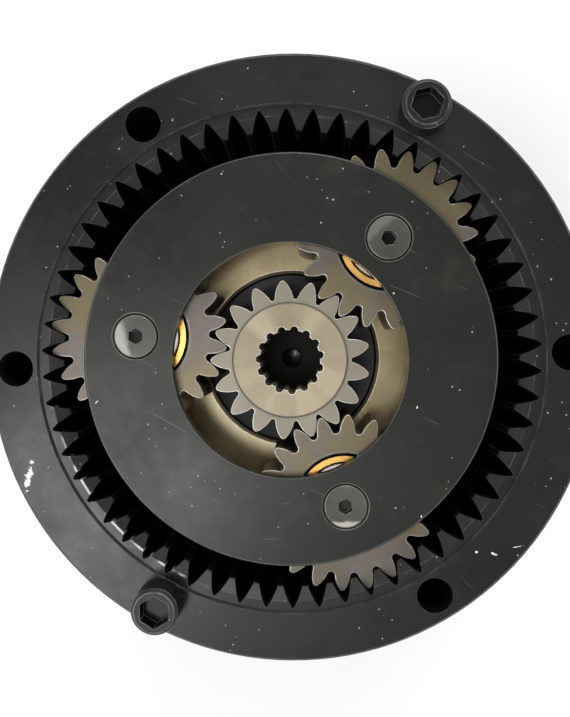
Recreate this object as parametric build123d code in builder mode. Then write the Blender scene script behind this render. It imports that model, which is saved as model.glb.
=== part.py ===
from build123d import *
import os
from math import pi, sin, cos, tan, acos, radians, degrees, sqrt

# Two-stage planetary swing reducer, motor removed, standing on its output pinion.
# Frame: origin at the centre of the pinion's lower end face, +Z up the common axis
# towards the motor side.  All heights below are written as a depth from the ring
# gear's top face and turned into Z by h().

# ------------------------------------------------------------------ dimensions
RING_TOP = 300.0          # Z of the ring gear's top face above the pinion's end face
MODULE = 3.0              # gear module of both stages
ALPHA = 25.0              # pressure angle of both stages
BACKLASH = 0.14           # thinning of each external tooth, measured on the pitch circle

RING_TEETH = 58
RING_TIP_R = 84.1
RING_ROOT_R = 91.15
RING_OUT_R = 110.4
RING_HEIGHT = 100.0
RING_PHASE = 1.073        # direction of one tooth space, degrees
RECESS_R = 92.6           # shallow register for the motor, and the same below
RECESS_DEEP = 1.6
BOLT_R = 100.5            # bolt circle radius, M12
BOLT_HOLE_R = 6.5
BOLT_FIRST = 30.0

PLANET_TEETH = 20
PLANET_TIP_R = 33.0
PLANET_ROOT_R = 26.2
PLANET_FOOT_R = 27.3      # where the flank runs into the round bottom of the gap
CENTRE_R = 57.0           # planet centre distance, both stages
BORE_R = 18.5             # planet bore, needle outer race
PIN_R = 15.0              # planet pin, needle inner race

SUN1_TEETH = 17
SUN1_SHIFT = 0.51
SUN1_TIP_R = 29.6
SUN1_ROOT_R = 22.8
SUN1_FOOT_R = 23.6
SUN1_BOSS_R = 21.4
SUN2_TEETH = 18
SUN2_TIP_R = 30.0
SUN2_ROOT_R = 23.25

SPLINE_TEETH = 15         # 16/32 pitch, 30 degree involute motor spline
SPLINE_MODULE = 25.4 / 16
SPLINE_MAJOR_R = 12.65
SPLINE_MINOR_R = 11.2
SPLINE_PHASE = 14.15

STAGE1_FIRST = 79.289     # direction of the first planet of stage one
STAGE2_FIRST = 45.0

COVER_OUT_R = 75.4        # first carrier's cover plate
COVER_IN_R = 43.0
COVER_TOP, COVER_LOW = 0.5, 5.5
P1_TOP, P1_LOW = 6.0, 33.0
C1_TOP, C1_LOW = 34.2, 50.0
C1_EYE_R = 34.4
C1_FLOOR = 42.0
SUN1_BOSS, SUN1_TOP, SUN1_LOW = 6.0, 7.0, 37.5
C2_TOP, C2_TOP_LOW = 52.0, 60.0
P2_TOP, P2_LOW = 61.5, 96.5
C2_LOW_TOP, C2_LOW = 98.0, 116.0

FLANGE_TOP, FLANGE_LOW = 172.0, 192.0
FLANGE_R = 138.0
FLANGE_PCD_R = 124.0
FLANGE_HOLE_R = 7.0
FLANGE_HOLES = 12
PILOT_R = 105.0
PILOT_LOW = 202.0

PINION_MODULE = 7.0
PINION_TEETH = 13
PINION_SHIFT = 0.4
PINION_ALPHA = 20.0
PINION_TIP_R = 55.3
PINION_ROOT_R = 39.6
PINION_TOP = 246.0


def h(depth):
    return RING_TOP - depth


def at(angle, radius, depth=0.0):
    return (radius * cos(radians(angle)), radius * sin(radians(angle)), h(depth))


def turned(angle, radius, depth, twist=0.0):
    """Level plane at a depth, centred on a polar point, its x axis turned by twist."""
    t = radians(twist)
    return Plane(origin=at(angle, radius, depth), x_dir=(cos(t), sin(t), 0), z_dir=(0, 0, 1))


def radial(angle, radius, depth=None):
    """Upright plane square to a direction, at a radius and a depth, facing outward."""
    t = radians(angle)
    return Plane(origin=at(angle, radius, PLUG_DEPTH if depth is None else depth),
                 x_dir=(-sin(t), cos(t), 0), z_dir=(cos(t), sin(t), 0))


# ---------------------------------------------------------------- tooth shapes
def involute(a):
    return tan(a) - a


def half_tooth(r, teeth, module, shift, alpha):
    """Half the angle a tooth covers at radius r, radians."""
    al = radians(alpha)
    rb = teeth * module / 2 * cos(al)
    at_r = acos(min(1.0, rb / r))
    return (pi / 2 + 2 * shift * tan(al)) / teeth + involute(al) - involute(at_r)


def pol(r, a):
    return (r * cos(a), r * sin(a))


def outer_teeth(teeth, module, shift, alpha, tip, root, thin, phase, foot=None, crown=0.0):
    """Edges of an external gear.  A foot radius gives gaps with one round bottom, and
    without it they get radial feet and a root land.  The crown rounds the tips."""
    rb = teeth * module / 2 * cos(radians(alpha))
    rp = teeth * module / 2
    low = max(rb, root) if foot is None else foot
    high = tip - crown
    mid = (low + high) / 2
    cut = thin / (2 * rp)
    w = [half_tooth(r, teeth, module, shift, alpha) - cut for r in (low, mid, high)]
    pitch = 2 * pi / teeth
    radial_foot = foot is None and low > root + 0.01
    edges = []
    for k in range(teeth):
        c = radians(phase) + k * pitch
        if radial_foot:
            edges.append((pol(root, c - w[0]), pol(low, c - w[0])))
        edges.append((pol(low, c - w[0]), pol(mid, c - w[1]), pol(high, c - w[2])))
        edges.append((pol(high, c - w[2]), pol(tip, c), pol(high, c + w[2])))
        edges.append((pol(high, c + w[2]), pol(mid, c + w[1]), pol(low, c + w[0])))
        if radial_foot:
            edges.append((pol(low, c + w[0]), pol(root, c + w[0])))
        start = low if foot is not None else root
        edges.append((pol(start, c + w[0]), pol(root, c + pitch / 2), pol(start, c + pitch - w[0])))
    return edges


def inner_teeth(teeth, module, shift, alpha, tip, root, round_r, widen, phase):
    """Edges of an internal gear's opening: rounded root, flanks, tip lands."""
    rp = teeth * module / 2
    grow = widen / (2 * rp)
    top = root - round_r
    mid = (tip + top) / 2
    w = [half_tooth(r, teeth, module, shift, alpha) + grow for r in (tip, mid, top)]
    pitch = 2 * pi / teeth
    edges = []
    for k in range(teeth):
        c = radians(phase) + k * pitch
        edges.append((pol(tip, c - w[0]), pol(mid, c - w[1]), pol(top, c - w[2])))
        edges.append((pol(top, c - w[2]), pol(root, c), pol(top, c + w[2])))
        edges.append((pol(top, c + w[2]), pol(mid, c + w[1]), pol(tip, c + w[0])))
        edges.append((pol(tip, c + w[0]), pol(tip, c + pitch / 2), pol(tip, c + pitch - w[0])))
    return edges


def planet_offset(place):
    """Tooth direction of a planet from its outward direction, set by the ring."""
    step = 360 / RING_TEETH
    k = round((place - RING_PHASE) / step)
    return (RING_PHASE + k * step - place) * RING_TEETH / PLANET_TEETH


def sun_phase(place, teeth):
    """Tooth direction of the sun that meshes with the planet at this place."""
    return place - planet_offset(place) * PLANET_TEETH / teeth + 180 / teeth


STAGE1 = [STAGE1_FIRST + 120 * k for k in range(3)]
STAGE2 = [STAGE2_FIRST + 90 * k for k in range(4)]
SUN1_PHASE = sun_phase(STAGE1[0], SUN1_TEETH)
SUN2_PHASE = sun_phase(STAGE2[0], SUN2_TEETH)
SCREWED = [90.0, 270.0]   # the two bolt holes that hold long cap screws
DOWELS = [60.0, 240.0]
SCREW_TWIST = {90.0: 41.0, 270.0: 58.25}   # how each hexagon socket came to rest
CSK_TWIST = [34.75, 58.25, 58.25]
PLUG_SIDES = [30.0, 210.0]
PLUG_FACE_R = 103.5
PLUG_DEPTH = 160.5

os.makedirs("parts", exist_ok=True)


# ------------------------------------------------------------------- ring gear
with BuildPart() as ring_gear:
    with BuildSketch(Plane.XZ):
        with BuildLine():
            Polyline((80, h(0)), (RING_OUT_R - 1, h(0)), (RING_OUT_R, h(1)),
                     (RING_OUT_R, h(RING_HEIGHT - 1)), (RING_OUT_R - 1, h(RING_HEIGHT)),
                     (80, h(RING_HEIGHT)), close=True)
        make_face()
    revolve(axis=Axis.Z)
    # internal teeth, full height
    with BuildSketch(Plane.XY.offset(h(RING_HEIGHT + 1))):
        with BuildLine():
            for e in inner_teeth(RING_TEETH, MODULE, 0, ALPHA, RING_TIP_R, RING_ROOT_R, 0.6, 0.2, RING_PHASE):
                ThreePointArc(*e)
        make_face()
    extrude(amount=RING_HEIGHT + 2, mode=Mode.SUBTRACT)
    # motor register and tapered lead-in of the tooth ends, and the housing register below
    with BuildSketch(Plane.XZ):
        with BuildLine():
            Polyline((70, h(-1)), (RECESS_R, h(-1)), (RECESS_R, h(RECESS_DEEP)), (88.6, h(RECESS_DEEP)),
                     (83.6, h(RECESS_DEEP + 3.6)), (70, h(RECESS_DEEP + 3.6)), close=True)
        make_face()
        with BuildLine():
            Polyline((70, h(RING_HEIGHT + 1)), (RECESS_R, h(RING_HEIGHT + 1)), (RECESS_R, h(RING_HEIGHT - 3)),
                     (70, h(RING_HEIGHT - 3)), close=True)
        make_face()
    revolve(axis=Axis.Z, mode=Mode.SUBTRACT)
    with BuildSketch(Plane.XY.offset(h(RING_HEIGHT + 1))):
        with PolarLocations(BOLT_R, 6, start_angle=BOLT_FIRST):
            Circle(BOLT_HOLE_R)
    extrude(amount=RING_HEIGHT + 2, mode=Mode.SUBTRACT)
    # dowel holes in the lower face
    with BuildSketch(Plane.XY.offset(h(RING_HEIGHT + 1))):
        with PolarLocations(BOLT_R, 2, start_angle=DOWELS[0]):
            Circle(4.0)
    extrude(amount=10, mode=Mode.SUBTRACT)
ring_gear.part.label = "ring_gear"
export_step(ring_gear.part, "parts/ring_gear.step")

# ---------------------------------------------------------------- lower housing
with BuildPart() as lower_housing:
    with BuildSketch(Plane.XZ):
        with BuildLine():
            Polyline((85, h(97.5)), (92.4, h(97.5)), (92.5, h(98)), (92.5, h(100)), (RING_OUT_R, h(100)),
                     (RING_OUT_R, h(116.5)), (RING_OUT_R - 1.5, h(118)), (102, h(118)), (98, h(122)),
                     (98, h(FLANGE_TOP - 5)), (103, h(FLANGE_TOP)), (FLANGE_R - 1.5, h(FLANGE_TOP)),
                     (FLANGE_R, h(FLANGE_TOP + 1.5)), (FLANGE_R, h(FLANGE_LOW - 1)), (FLANGE_R - 1, h(FLANGE_LOW)),
                     (PILOT_R, h(FLANGE_LOW)), (PILOT_R, h(PILOT_LOW - 1)), (PILOT_R - 1, h(PILOT_LOW)),
                     (92, h(PILOT_LOW)), (86, h(208)), (86, h(235)), (85, h(236)),
                     (76, h(236)), (75, h(235)), (75, h(194)), (62, h(194)), (62, h(154)), (70, h(154)),
                     (70, h(120)), (85, h(120)), close=True)
        make_face()
    revolve(axis=Axis.Z)
    # six ribs between the joint flange and the mounting flange
    for k in range(6):
        with BuildSketch(Plane(origin=(0, 0, 0), x_dir=(cos(radians(60 * k)), sin(radians(60 * k)), 0),
                               z_dir=(sin(radians(60 * k)), -cos(radians(60 * k)), 0))):
            with BuildLine():
                Polyline((96, h(117)), (107, h(117)), (107, h(130)), (116, h(FLANGE_TOP + 1)), (96, h(FLANGE_TOP + 1)), close=True)
            make_face()
        extrude(amount=5, both=True)
    # tapped holes under the ring gear's bolt holes
    with BuildSketch(Plane.XY.offset(h(119))):
        with PolarLocations(BOLT_R, 6, start_angle=BOLT_FIRST):
            Circle(6.0)
    extrude(amount=20, mode=Mode.SUBTRACT)
    with BuildSketch(Plane.XY.offset(h(108))):
        with PolarLocations(BOLT_R, 2, start_angle=DOWELS[0]):
            Circle(4.0)
    extrude(amount=9, mode=Mode.SUBTRACT)
    # mounting holes
    with BuildSketch(Plane.XY.offset(h(FLANGE_LOW + 1))):
        with PolarLocations(FLANGE_PCD_R, FLANGE_HOLES, start_angle=15):
            Circle(FLANGE_HOLE_R)
    extrude(amount=22, mode=Mode.SUBTRACT)
    # bosses and tapped holes of the oil drain and oil level plugs, between ribs
    for side in PLUG_SIDES:
        with BuildSketch(radial(side, 90)):
            Circle(11)
        extrude(amount=PLUG_FACE_R - 90)
        with BuildSketch(radial(side, 55)):
            Circle(6.0)
        extrude(amount=60, mode=Mode.SUBTRACT)
lower_housing.part.label = "lower_housing"
export_step(lower_housing.part, "parts/lower_housing.step")

# ------------------------------------------------- screws, pins and plugs of the casing
# two long socket head cap screws that hold the ring gear to the lower housing
with BuildPart() as ring_cap_screws:
    for a in SCREWED:
        with BuildSketch(turned(a, BOLT_R, 0.0)):
            Circle(8.5)
        extrude(amount=12.0)
        with BuildSketch(turned(a, BOLT_R, 116.0)):
            Circle(5.9)
        extrude(amount=116.0)
    chamfer(ring_cap_screws.edges().filter_by(GeomType.CIRCLE).group_by(Axis.Z)[-1], 1.2)
    for a in SCREWED:
        with BuildSketch(turned(a, BOLT_R, -6.0, SCREW_TWIST[a])):
            RegularPolygon(radius=5.0, side_count=6, major_radius=False)
        extrude(amount=7.0, mode=Mode.SUBTRACT)
ring_cap_screws.part.label = "ring_cap_screws"
export_step(ring_cap_screws.part, "parts/ring_cap_screws.step")

with BuildPart() as dowel_pins:
    for a in DOWELS:
        with BuildSketch(turned(a, BOLT_R, 107.5)):
            Circle(3.98)
        extrude(amount=16.0)
    chamfer(dowel_pins.edges().filter_by(GeomType.CIRCLE), 0.6)
dowel_pins.part.label = "dowel_pins"
export_step(dowel_pins.part, "parts/dowel_pins.step")

for plug_name, side in (("drain_plug", PLUG_SIDES[0]), ("level_plug", PLUG_SIDES[1])):
    with BuildPart() as plug:
        with BuildSketch(radial(side, PLUG_FACE_R + 1.5)):
            Circle(8.5)
        extrude(amount=4.5)
        chamfer(plug.edges().filter_by(GeomType.CIRCLE), 0.6)
        with BuildSketch(radial(side, PLUG_FACE_R - 13)):
            Circle(5.95)
        extrude(amount=15.0)
        with BuildSketch(radial(side, PLUG_FACE_R + 1.8)):
            RegularPolygon(radius=3.0, side_count=6, major_radius=False)
        extrude(amount=5.0, mode=Mode.SUBTRACT)
    plug.part.label = plug_name
    export_step(plug.part, "parts/" + plug_name + ".step")

with BuildPart() as plug_washers:
    for side in PLUG_SIDES:
        with BuildSketch(radial(side, PLUG_FACE_R)):
            Circle(9.5)
            Circle(6.2, mode=Mode.SUBTRACT)
        extrude(amount=1.5)
plug_washers.part.label = "plug_washers"
export_step(plug_washers.part, "parts/plug_washers.step")

with BuildPart() as shaft_seal:
    with BuildSketch(Plane.XZ):
        with BuildLine():
            Polyline((74.95, h(225.5)), (74.95, h(235.0)), (74.0, h(235.8)), (62.0, h(235.8)), (58.4, h(234.2)),
                     (58.1, h(233.0)), (60.5, h(228.2)), (62.5, h(228.2)), (61.5, h(232.4)), (63.5, h(233.4)),
                     (72.0, h(233.4)), (72.0, h(225.5)), close=True)
        make_face()
    revolve(axis=Axis.Z)
shaft_seal.part.label = "shaft_seal"
export_step(shaft_seal.part, "parts/shaft_seal.step")

# ------------------------------------------------------------- output shaft, pinion
with BuildPart() as output_shaft:
    with BuildSketch(Plane.XZ):
        with BuildLine():
            Polyline((0, h(103.8)), (32, h(103.8)), (34, h(105.8)), (34, h(116.8)), (38.9, h(116.8)), (38.9, h(126)),
                     (39.9, h(126.5)), (39.9, h(155)), (45, h(160)), (45, h(190)), (49.9, h(193.5)),
                     (49.9, h(222)), (57.5, h(222)), (58, h(222.5)), (58, h(240)), (55.3, h(PINION_TOP)),
                     (0, h(PINION_TOP)), close=True)
        make_face()
    revolve(axis=Axis.Z)
    with BuildSketch(Plane.XY.offset(h(300))):
        with BuildLine():
            for e in outer_teeth(PINION_TEETH, PINION_MODULE, PINION_SHIFT, PINION_ALPHA, PINION_TIP_R, PINION_ROOT_R, 0.2, 0):
                ThreePointArc(*e) if len(e) == 3 else Line(*e)
        make_face()
    extrude(amount=300 - 243)
    # chamfered tooth ends, centre holes in both ends
    with BuildSketch(Plane.XZ):
        with BuildLine():
            Polyline((PINION_TIP_R - 3.0, h(300.5)), (PINION_TIP_R + 5, h(300.5)), (PINION_TIP_R + 5, h(296)),
                     (PINION_TIP_R + 1, h(296)), close=True)
        make_face()
        with BuildLine():
            Polyline((0, h(301)), (7, h(301)), (7, h(297)), (4, h(292)), (4, h(284)), (0, h(281)), close=True)
        make_face()
        with BuildLine():
            Polyline((0, h(103)), (5, h(103)), (5, h(107)), (3, h(111)), (0, h(113)), close=True)
        make_face()
    revolve(axis=Axis.Z, mode=Mode.SUBTRACT)
    # splined upper end that the second carrier sits on
    with BuildSketch(Plane.XY.offset(h(116.8))):
        with PolarLocations(34.0, 24):
            Circle(2.2)
    extrude(amount=14, mode=Mode.SUBTRACT)
    with BuildSketch(Plane.XY.offset(h(118))):
        with PolarLocations(20.0, 3, start_angle=90):
            Circle(4.0)
    extrude(amount=16, mode=Mode.SUBTRACT)
output_shaft.part.label = "output_shaft"
export_step(output_shaft.part, "parts/output_shaft.step")

# ------------------------------------------------------------- taper roller bearings
# name, bore radius, outer radius, depth of the cup's back face, +1 where the races
# widen downward, mean roller radius, number of rollers
BEARINGS = [("upper", 40.0, 70.0, 154.0, -1, 54.5, 22), ("lower", 50.0, 75.0, 194.0, 1, 62.3, 25)]
ROLL_HALF, ROLL_R, SLOPE, TAPER, GAP = 8.0, 4.6, 0.22, 0.06, 0.15
TILT = sqrt(1 + SLOPE * SLOPE)


def cup_r(mean, t):
    return mean + (SLOPE + TAPER) * t + (ROLL_R + GAP) * TILT


def cone_r(mean, t):
    return mean + (SLOPE - TAPER) * t - (ROLL_R + GAP) * TILT


def roller_point(mean, depth, grow, s, w):
    """Point s along a roller's leaning axis and w square to it."""
    return (mean + (SLOPE * s + w) / TILT, h(depth) + grow * (SLOPE * w - s) / TILT)


for name, bore, outer, back, grow, mean, count in BEARINGS:
    mid = back + grow * 14.5
    with BuildPart() as cup:
        with BuildSketch(Plane.XZ):
            with BuildLine():
                Polyline((cup_r(mean, -11.5), h(mid - grow * 11.5)), (cup_r(mean, 11.5), h(mid + grow * 11.5)),
                         (outer - 0.8, h(mid + grow * 11.5)), (outer - 0.02, h(mid + grow * 10.7)),
                         (outer - 0.02, h(back + grow * 0.8)), (outer - 0.8, h(back)),
                         (cup_r(mean, -11.5), h(back)), close=True)
            make_face()
        revolve(axis=Axis.Z)
    cup.part.label = name + "_bearing_cup"
    export_step(cup.part, "parts/" + name + "_bearing_cup.step")

    with BuildPart() as cone:
        with BuildSketch(Plane.XZ):
            with BuildLine():
                ra, rb = cone_r(mean, -8.4), cone_r(mean, 9.6)
                Polyline((bore, h(back + grow * 2)), (ra + 1.5, h(back + grow * 2)), (ra + 1.5, h(mid - grow * 8.4)),
                         (ra, h(mid - grow * 8.4)), (rb, h(mid + grow * 9.6)), (rb + 2.6, h(mid + grow * 9.8)),
                         (rb + 2.6, h(back + grow * 28)), (bore, h(back + grow * 28)), close=True)
            make_face()
        revolve(axis=Axis.Z)
    cone.part.label = name + "_bearing_cone"
    export_step(cone.part, "parts/" + name + "_bearing_cone.step")

    lean = Axis(origin=(mean, 0, h(mid)), direction=(SLOPE, 0, -grow))
    with BuildPart() as one_roller:
        with BuildSketch(Plane.XZ):
            with BuildLine():
                Polyline(roller_point(mean, mid, grow, -ROLL_HALF, 0),
                         roller_point(mean, mid, grow, -ROLL_HALF, ROLL_R - TAPER * ROLL_HALF),
                         roller_point(mean, mid, grow, ROLL_HALF, ROLL_R + TAPER * ROLL_HALF),
                         roller_point(mean, mid, grow, ROLL_HALF, 0), close=True)
            make_face()
        revolve(axis=lean)
    with BuildPart() as pocket:
        with BuildSketch(Plane.XZ):
            with BuildLine():
                e = ROLL_HALF + 0.3
                Polyline(roller_point(mean, mid, grow, -e, 0),
                         roller_point(mean, mid, grow, -e, ROLL_R + 0.3 - TAPER * e),
                         roller_point(mean, mid, grow, e, ROLL_R + 0.3 + TAPER * e),
                         roller_point(mean, mid, grow, e, 0), close=True)
            make_face()
        revolve(axis=lean)

    with BuildPart() as rollers:
        with PolarLocations(0, count):
            add(one_roller.part)
    rollers.part.label = name + "_bearing_rollers"
    export_step(rollers.part, "parts/" + name + "_bearing_rollers.step")

    with BuildPart() as cage:
        with BuildSketch(Plane.XZ):
            with BuildLine():
                Polyline(*[roller_point(mean, mid, grow, s, w) for s, w in
                           ((-10.8, -0.9), (10.4, -0.9), (10.4, 0.9), (-10.8, 0.9))], close=True)
            make_face()
        revolve(axis=Axis.Z)
        with PolarLocations(0, count):
            add(pocket.part, mode=Mode.SUBTRACT)
    cage.part.label = name + "_bearing_cage"
    export_step(cage.part, "parts/" + name + "_bearing_cage.step")

# --------------------------------------------------------------- bearing nut, washer
with BuildPart() as bearing_nut:
    with BuildSketch(Plane.XY.offset(h(124.4))):
        Circle(56)
        Circle(39.0, mode=Mode.SUBTRACT)
        with PolarLocations(56, 4, start_angle=45):
            Rectangle(10, 12, mode=Mode.SUBTRACT)
    extrude(amount=7.4)
bearing_nut.part.label = "bearing_nut"
export_step(bearing_nut.part, "parts/bearing_nut.step")

with BuildPart() as lock_washer:
    with BuildSketch(Plane.XY.offset(h(126.0))):
        Circle(53)
        Circle(39.0, mode=Mode.SUBTRACT)
        with PolarLocations(54, 13):
            Rectangle(6, 7)
    extrude(amount=1.5)
lock_washer.part.label = "lock_washer"
export_step(lock_washer.part, "parts/lock_washer.step")

# ----------------------------------------------------------------- second carrier
with BuildPart() as second_carrier:
    with BuildSketch(Plane.XY.offset(h(C2_TOP_LOW))):
        Circle(76)
        Circle(32.5, mode=Mode.SUBTRACT)
        with PolarLocations(CENTRE_R, 4, start_angle=STAGE2_FIRST):
            Circle(PIN_R + 0.02, mode=Mode.SUBTRACT)
    extrude(amount=C2_TOP_LOW - C2_TOP)
    chamfer(second_carrier.edges().filter_by(GeomType.CIRCLE).group_by(SortBy.RADIUS)[-1], 1.0)
    with BuildSketch(Plane.XY.offset(h(C2_LOW_TOP))):
        with PolarLocations(62, 4, start_angle=STAGE2_FIRST + 45):
            Circle(10)
    extrude(amount=C2_LOW_TOP - C2_TOP_LOW)
    with BuildSketch(Plane.XY.offset(h(C2_LOW))):
        Circle(80)
        Circle(34.1, mode=Mode.SUBTRACT)
        with PolarLocations(34.1, 24):
            Circle(2.0)
        with PolarLocations(CENTRE_R, 4, start_angle=STAGE2_FIRST):
            Circle(PIN_R + 0.02, mode=Mode.SUBTRACT)
    extrude(amount=C2_LOW - C2_LOW_TOP)
    with BuildSketch(Plane.XY.offset(h(103.7))):
        Circle(39)
    extrude(amount=8, mode=Mode.SUBTRACT)
    for a in STAGE2:
        with BuildSketch(radial(a, 50, 107)):
            Circle(3.02)
        extrude(amount=32, mode=Mode.SUBTRACT)
second_carrier.part.label = "second_carrier"
export_step(second_carrier.part, "parts/second_carrier.step")

with BuildPart() as second_planet_pins:
    for a in STAGE2:
        with BuildSketch(turned(a, CENTRE_R, 115.5)):
            Circle(PIN_R)
        extrude(amount=63.0)
    chamfer(second_planet_pins.edges().filter_by(GeomType.CIRCLE), 1.2)
    for a in STAGE2:
        with BuildSketch(radial(a, 50, 107)):
            Circle(3.02)
        extrude(amount=32, mode=Mode.SUBTRACT)
second_planet_pins.part.label = "second_planet_pins"
export_step(second_planet_pins.part, "parts/second_planet_pins.step")

with BuildPart() as pin_lock_pins:
    for a in STAGE2:
        with BuildSketch(radial(a, 51, 107)):
            Circle(3.0)
            Circle(1.4, mode=Mode.SUBTRACT)
        extrude(amount=28)
pin_lock_pins.part.label = "pin_lock_pins"
export_step(pin_lock_pins.part, "parts/pin_lock_pins.step")

with BuildPart() as second_thrust_washers:
    for low in (61.3, 98.0):
        for a in STAGE2:
            with BuildSketch(turned(a, CENTRE_R, low)):
                Circle(25.5)
                Circle(PIN_R + 0.1, mode=Mode.SUBTRACT)
            extrude(amount=1.2)
second_thrust_washers.part.label = "second_thrust_washers"
export_step(second_thrust_washers.part, "parts/second_thrust_washers.step")

with BuildPart() as carrier_thrust_ring:
    with BuildSketch(Plane.XY.offset(h(C2_TOP))):
        Circle(40.5)
        Circle(34.5, mode=Mode.SUBTRACT)
    extrude(amount=1.6)
carrier_thrust_ring.part.label = "carrier_thrust_ring"
export_step(carrier_thrust_ring.part, "parts/carrier_thrust_ring.step")

with BuildPart() as shaft_end_plate:
    with BuildSketch(Plane.XY.offset(h(103.7))):
        Circle(38.5)
    extrude(amount=5.0)
    with BuildSketch(Plane.XY.offset(h(98.7))):
        with PolarLocations(20.0, 3, start_angle=90):
            Circle(8.8)
    extrude(amount=-4.6, taper=45, mode=Mode.SUBTRACT)
    with BuildSketch(Plane.XY.offset(h(104))):
        with PolarLocations(20.0, 3, start_angle=90):
            Circle(4.2)
    extrude(amount=6, mode=Mode.SUBTRACT)
shaft_end_plate.part.label = "shaft_end_plate"
export_step(shaft_end_plate.part, "parts/shaft_end_plate.step")


def csk_profile(top, reach):
    """Half section of an M8 countersunk screw whose flat head is at the depth top."""
    return [(0, h(top)), (7.6, h(top)), (8.0, h(top + 0.4)), (4.0, h(top + 4.3)), (3.9, h(top + 4.4)),
            (3.9, h(top + reach)), (0, h(top + reach))]


with BuildPart() as one_end_screw:
    with BuildSketch(Plane.XZ):
        with BuildLine():
            Polyline(*csk_profile(98.9, 17.0), close=True)
        make_face()
    revolve(axis=Axis.Z)
    with BuildSketch(Plane.XY.offset(h(102.0))):
        RegularPolygon(radius=2.5, side_count=6, major_radius=False)
    extrude(amount=4, mode=Mode.SUBTRACT)
with BuildPart() as end_plate_screws:
    with PolarLocations(20.0, 3, start_angle=90):
        add(one_end_screw.part)
end_plate_screws.part.label = "end_plate_screws"
export_step(end_plate_screws.part, "parts/end_plate_screws.step")

# ------------------------------------------------------------ second stage planets
for i, place in enumerate(STAGE2):
    with BuildPart() as planet:
        with BuildSketch(turned(place, CENTRE_R, P2_LOW, place + planet_offset(place))):
            with BuildLine():
                for e in outer_teeth(PLANET_TEETH, MODULE, 0, ALPHA, PLANET_TIP_R, PLANET_ROOT_R, BACKLASH, 0, PLANET_FOOT_R, 0.45):
                    ThreePointArc(*e) if len(e) == 3 else Line(*e)
            make_face()
            Circle(BORE_R, mode=Mode.SUBTRACT)
        extrude(amount=P2_LOW - P2_TOP)
    planet.part.label = "second_planet_%d" % (i + 1)
    export_step(planet.part, "parts/second_planet_%d.step" % (i + 1))

# sun of the second stage, held in the first carrier by its own teeth
with BuildPart() as second_sun:
    with BuildSketch(Plane.XY.offset(h(P2_LOW))):
        with BuildLine():
            for e in outer_teeth(SUN2_TEETH, MODULE, 0, ALPHA, SUN2_TIP_R, SUN2_ROOT_R, BACKLASH, SUN2_PHASE):
                ThreePointArc(*e) if len(e) == 3 else Line(*e)
        make_face()
    extrude(amount=P2_LOW - 42.2)
    with BuildSketch(Plane.XZ):
        with BuildLine():
            Polyline((27.6, h(50.15)), (35, h(50.15)), (35, h(51.75)), (27.6, h(51.75)), close=True)
        make_face()
    revolve(axis=Axis.Z, mode=Mode.SUBTRACT)
    with BuildSketch(Plane.XY.offset(h(100))):
        Circle(9)
    extrude(amount=60, mode=Mode.SUBTRACT)
second_sun.part.label = "second_sun"
export_step(second_sun.part, "parts/second_sun.step")

with BuildPart() as sun_snap_ring:
    with BuildSketch(Plane.XY.offset(h(51.6))):
        Circle(32.2)
        Circle(27.8, mode=Mode.SUBTRACT)
        with Locations((30, 0)):
            Rectangle(12, 7, mode=Mode.SUBTRACT)
    extrude(amount=1.3)
sun_snap_ring.part.label = "sun_snap_ring"
export_step(sun_snap_ring.part, "parts/sun_snap_ring.step")

# ------------------------------------------------------------------- first carrier
with BuildPart() as first_carrier:
    with BuildSketch(Plane.XY.offset(h(C1_LOW))):
        Circle(75)
        with BuildLine():
            for e in inner_teeth(SUN2_TEETH, MODULE, 0, ALPHA, SUN2_ROOT_R + 0.3, SUN2_TIP_R + 0.2, 0.15, 0.15, SUN2_PHASE):
                ThreePointArc(*e)
        make_face(mode=Mode.SUBTRACT)
        with PolarLocations(CENTRE_R, 3, start_angle=STAGE1_FIRST):
            Circle(PIN_R + 0.02, mode=Mode.SUBTRACT)
    extrude(amount=C1_LOW - C1_TOP)
    chamfer(first_carrier.edges().filter_by(GeomType.CIRCLE).group_by(SortBy.RADIUS)[-1], 1.0)
    with BuildSketch(Plane.XZ):
        with BuildLine():
            Polyline((0, h(C1_TOP - 1)), (C1_EYE_R + 1.0, h(C1_TOP - 1)), (C1_EYE_R + 1.0, h(C1_TOP)),
                     (C1_EYE_R, h(C1_TOP + 1.0)), (C1_EYE_R, h(C1_FLOOR)), (0, h(C1_FLOOR)), close=True)
        make_face()
    revolve(axis=Axis.Z, mode=Mode.SUBTRACT)
first_carrier.part.label = "first_carrier"
export_step(first_carrier.part, "parts/first_carrier.step")

# pad that the input sun rests on
with BuildPart() as sun_thrust_plate:
    with BuildSketch(Plane.XY.offset(h(C1_FLOOR))):
        Circle(C1_EYE_R - 0.1)
        Circle(3.6, mode=Mode.SUBTRACT)
    extrude(amount=4.0)
    chamfer(sun_thrust_plate.edges().filter_by(GeomType.CIRCLE).group_by(Axis.Z)[-1], 0.5)
sun_thrust_plate.part.label = "sun_thrust_plate"
export_step(sun_thrust_plate.part, "parts/sun_thrust_plate.step")

with BuildPart() as first_planet_pins:
    for a in STAGE1:
        with BuildSketch(turned(a, CENTRE_R, C1_LOW)):
            Circle(PIN_R)
        extrude(amount=C1_LOW - COVER_LOW)
    chamfer(first_planet_pins.edges().filter_by(GeomType.CIRCLE), 1.4)
    for a in STAGE1:
        with BuildSketch(turned(a, CENTRE_R, 26)):
            Circle(4.0)
        extrude(amount=26, mode=Mode.SUBTRACT)
first_planet_pins.part.label = "first_planet_pins"
export_step(first_planet_pins.part, "parts/first_planet_pins.step")

with BuildPart() as first_thrust_washers:
    for a in STAGE1:
        with BuildSketch(turned(a, CENTRE_R, C1_TOP)):
            Circle(25.5)
            Circle(PIN_R + 0.1, mode=Mode.SUBTRACT)
        extrude(amount=1.2)
first_thrust_washers.part.label = "first_thrust_washers"
export_step(first_thrust_washers.part, "parts/first_thrust_washers.step")

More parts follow.
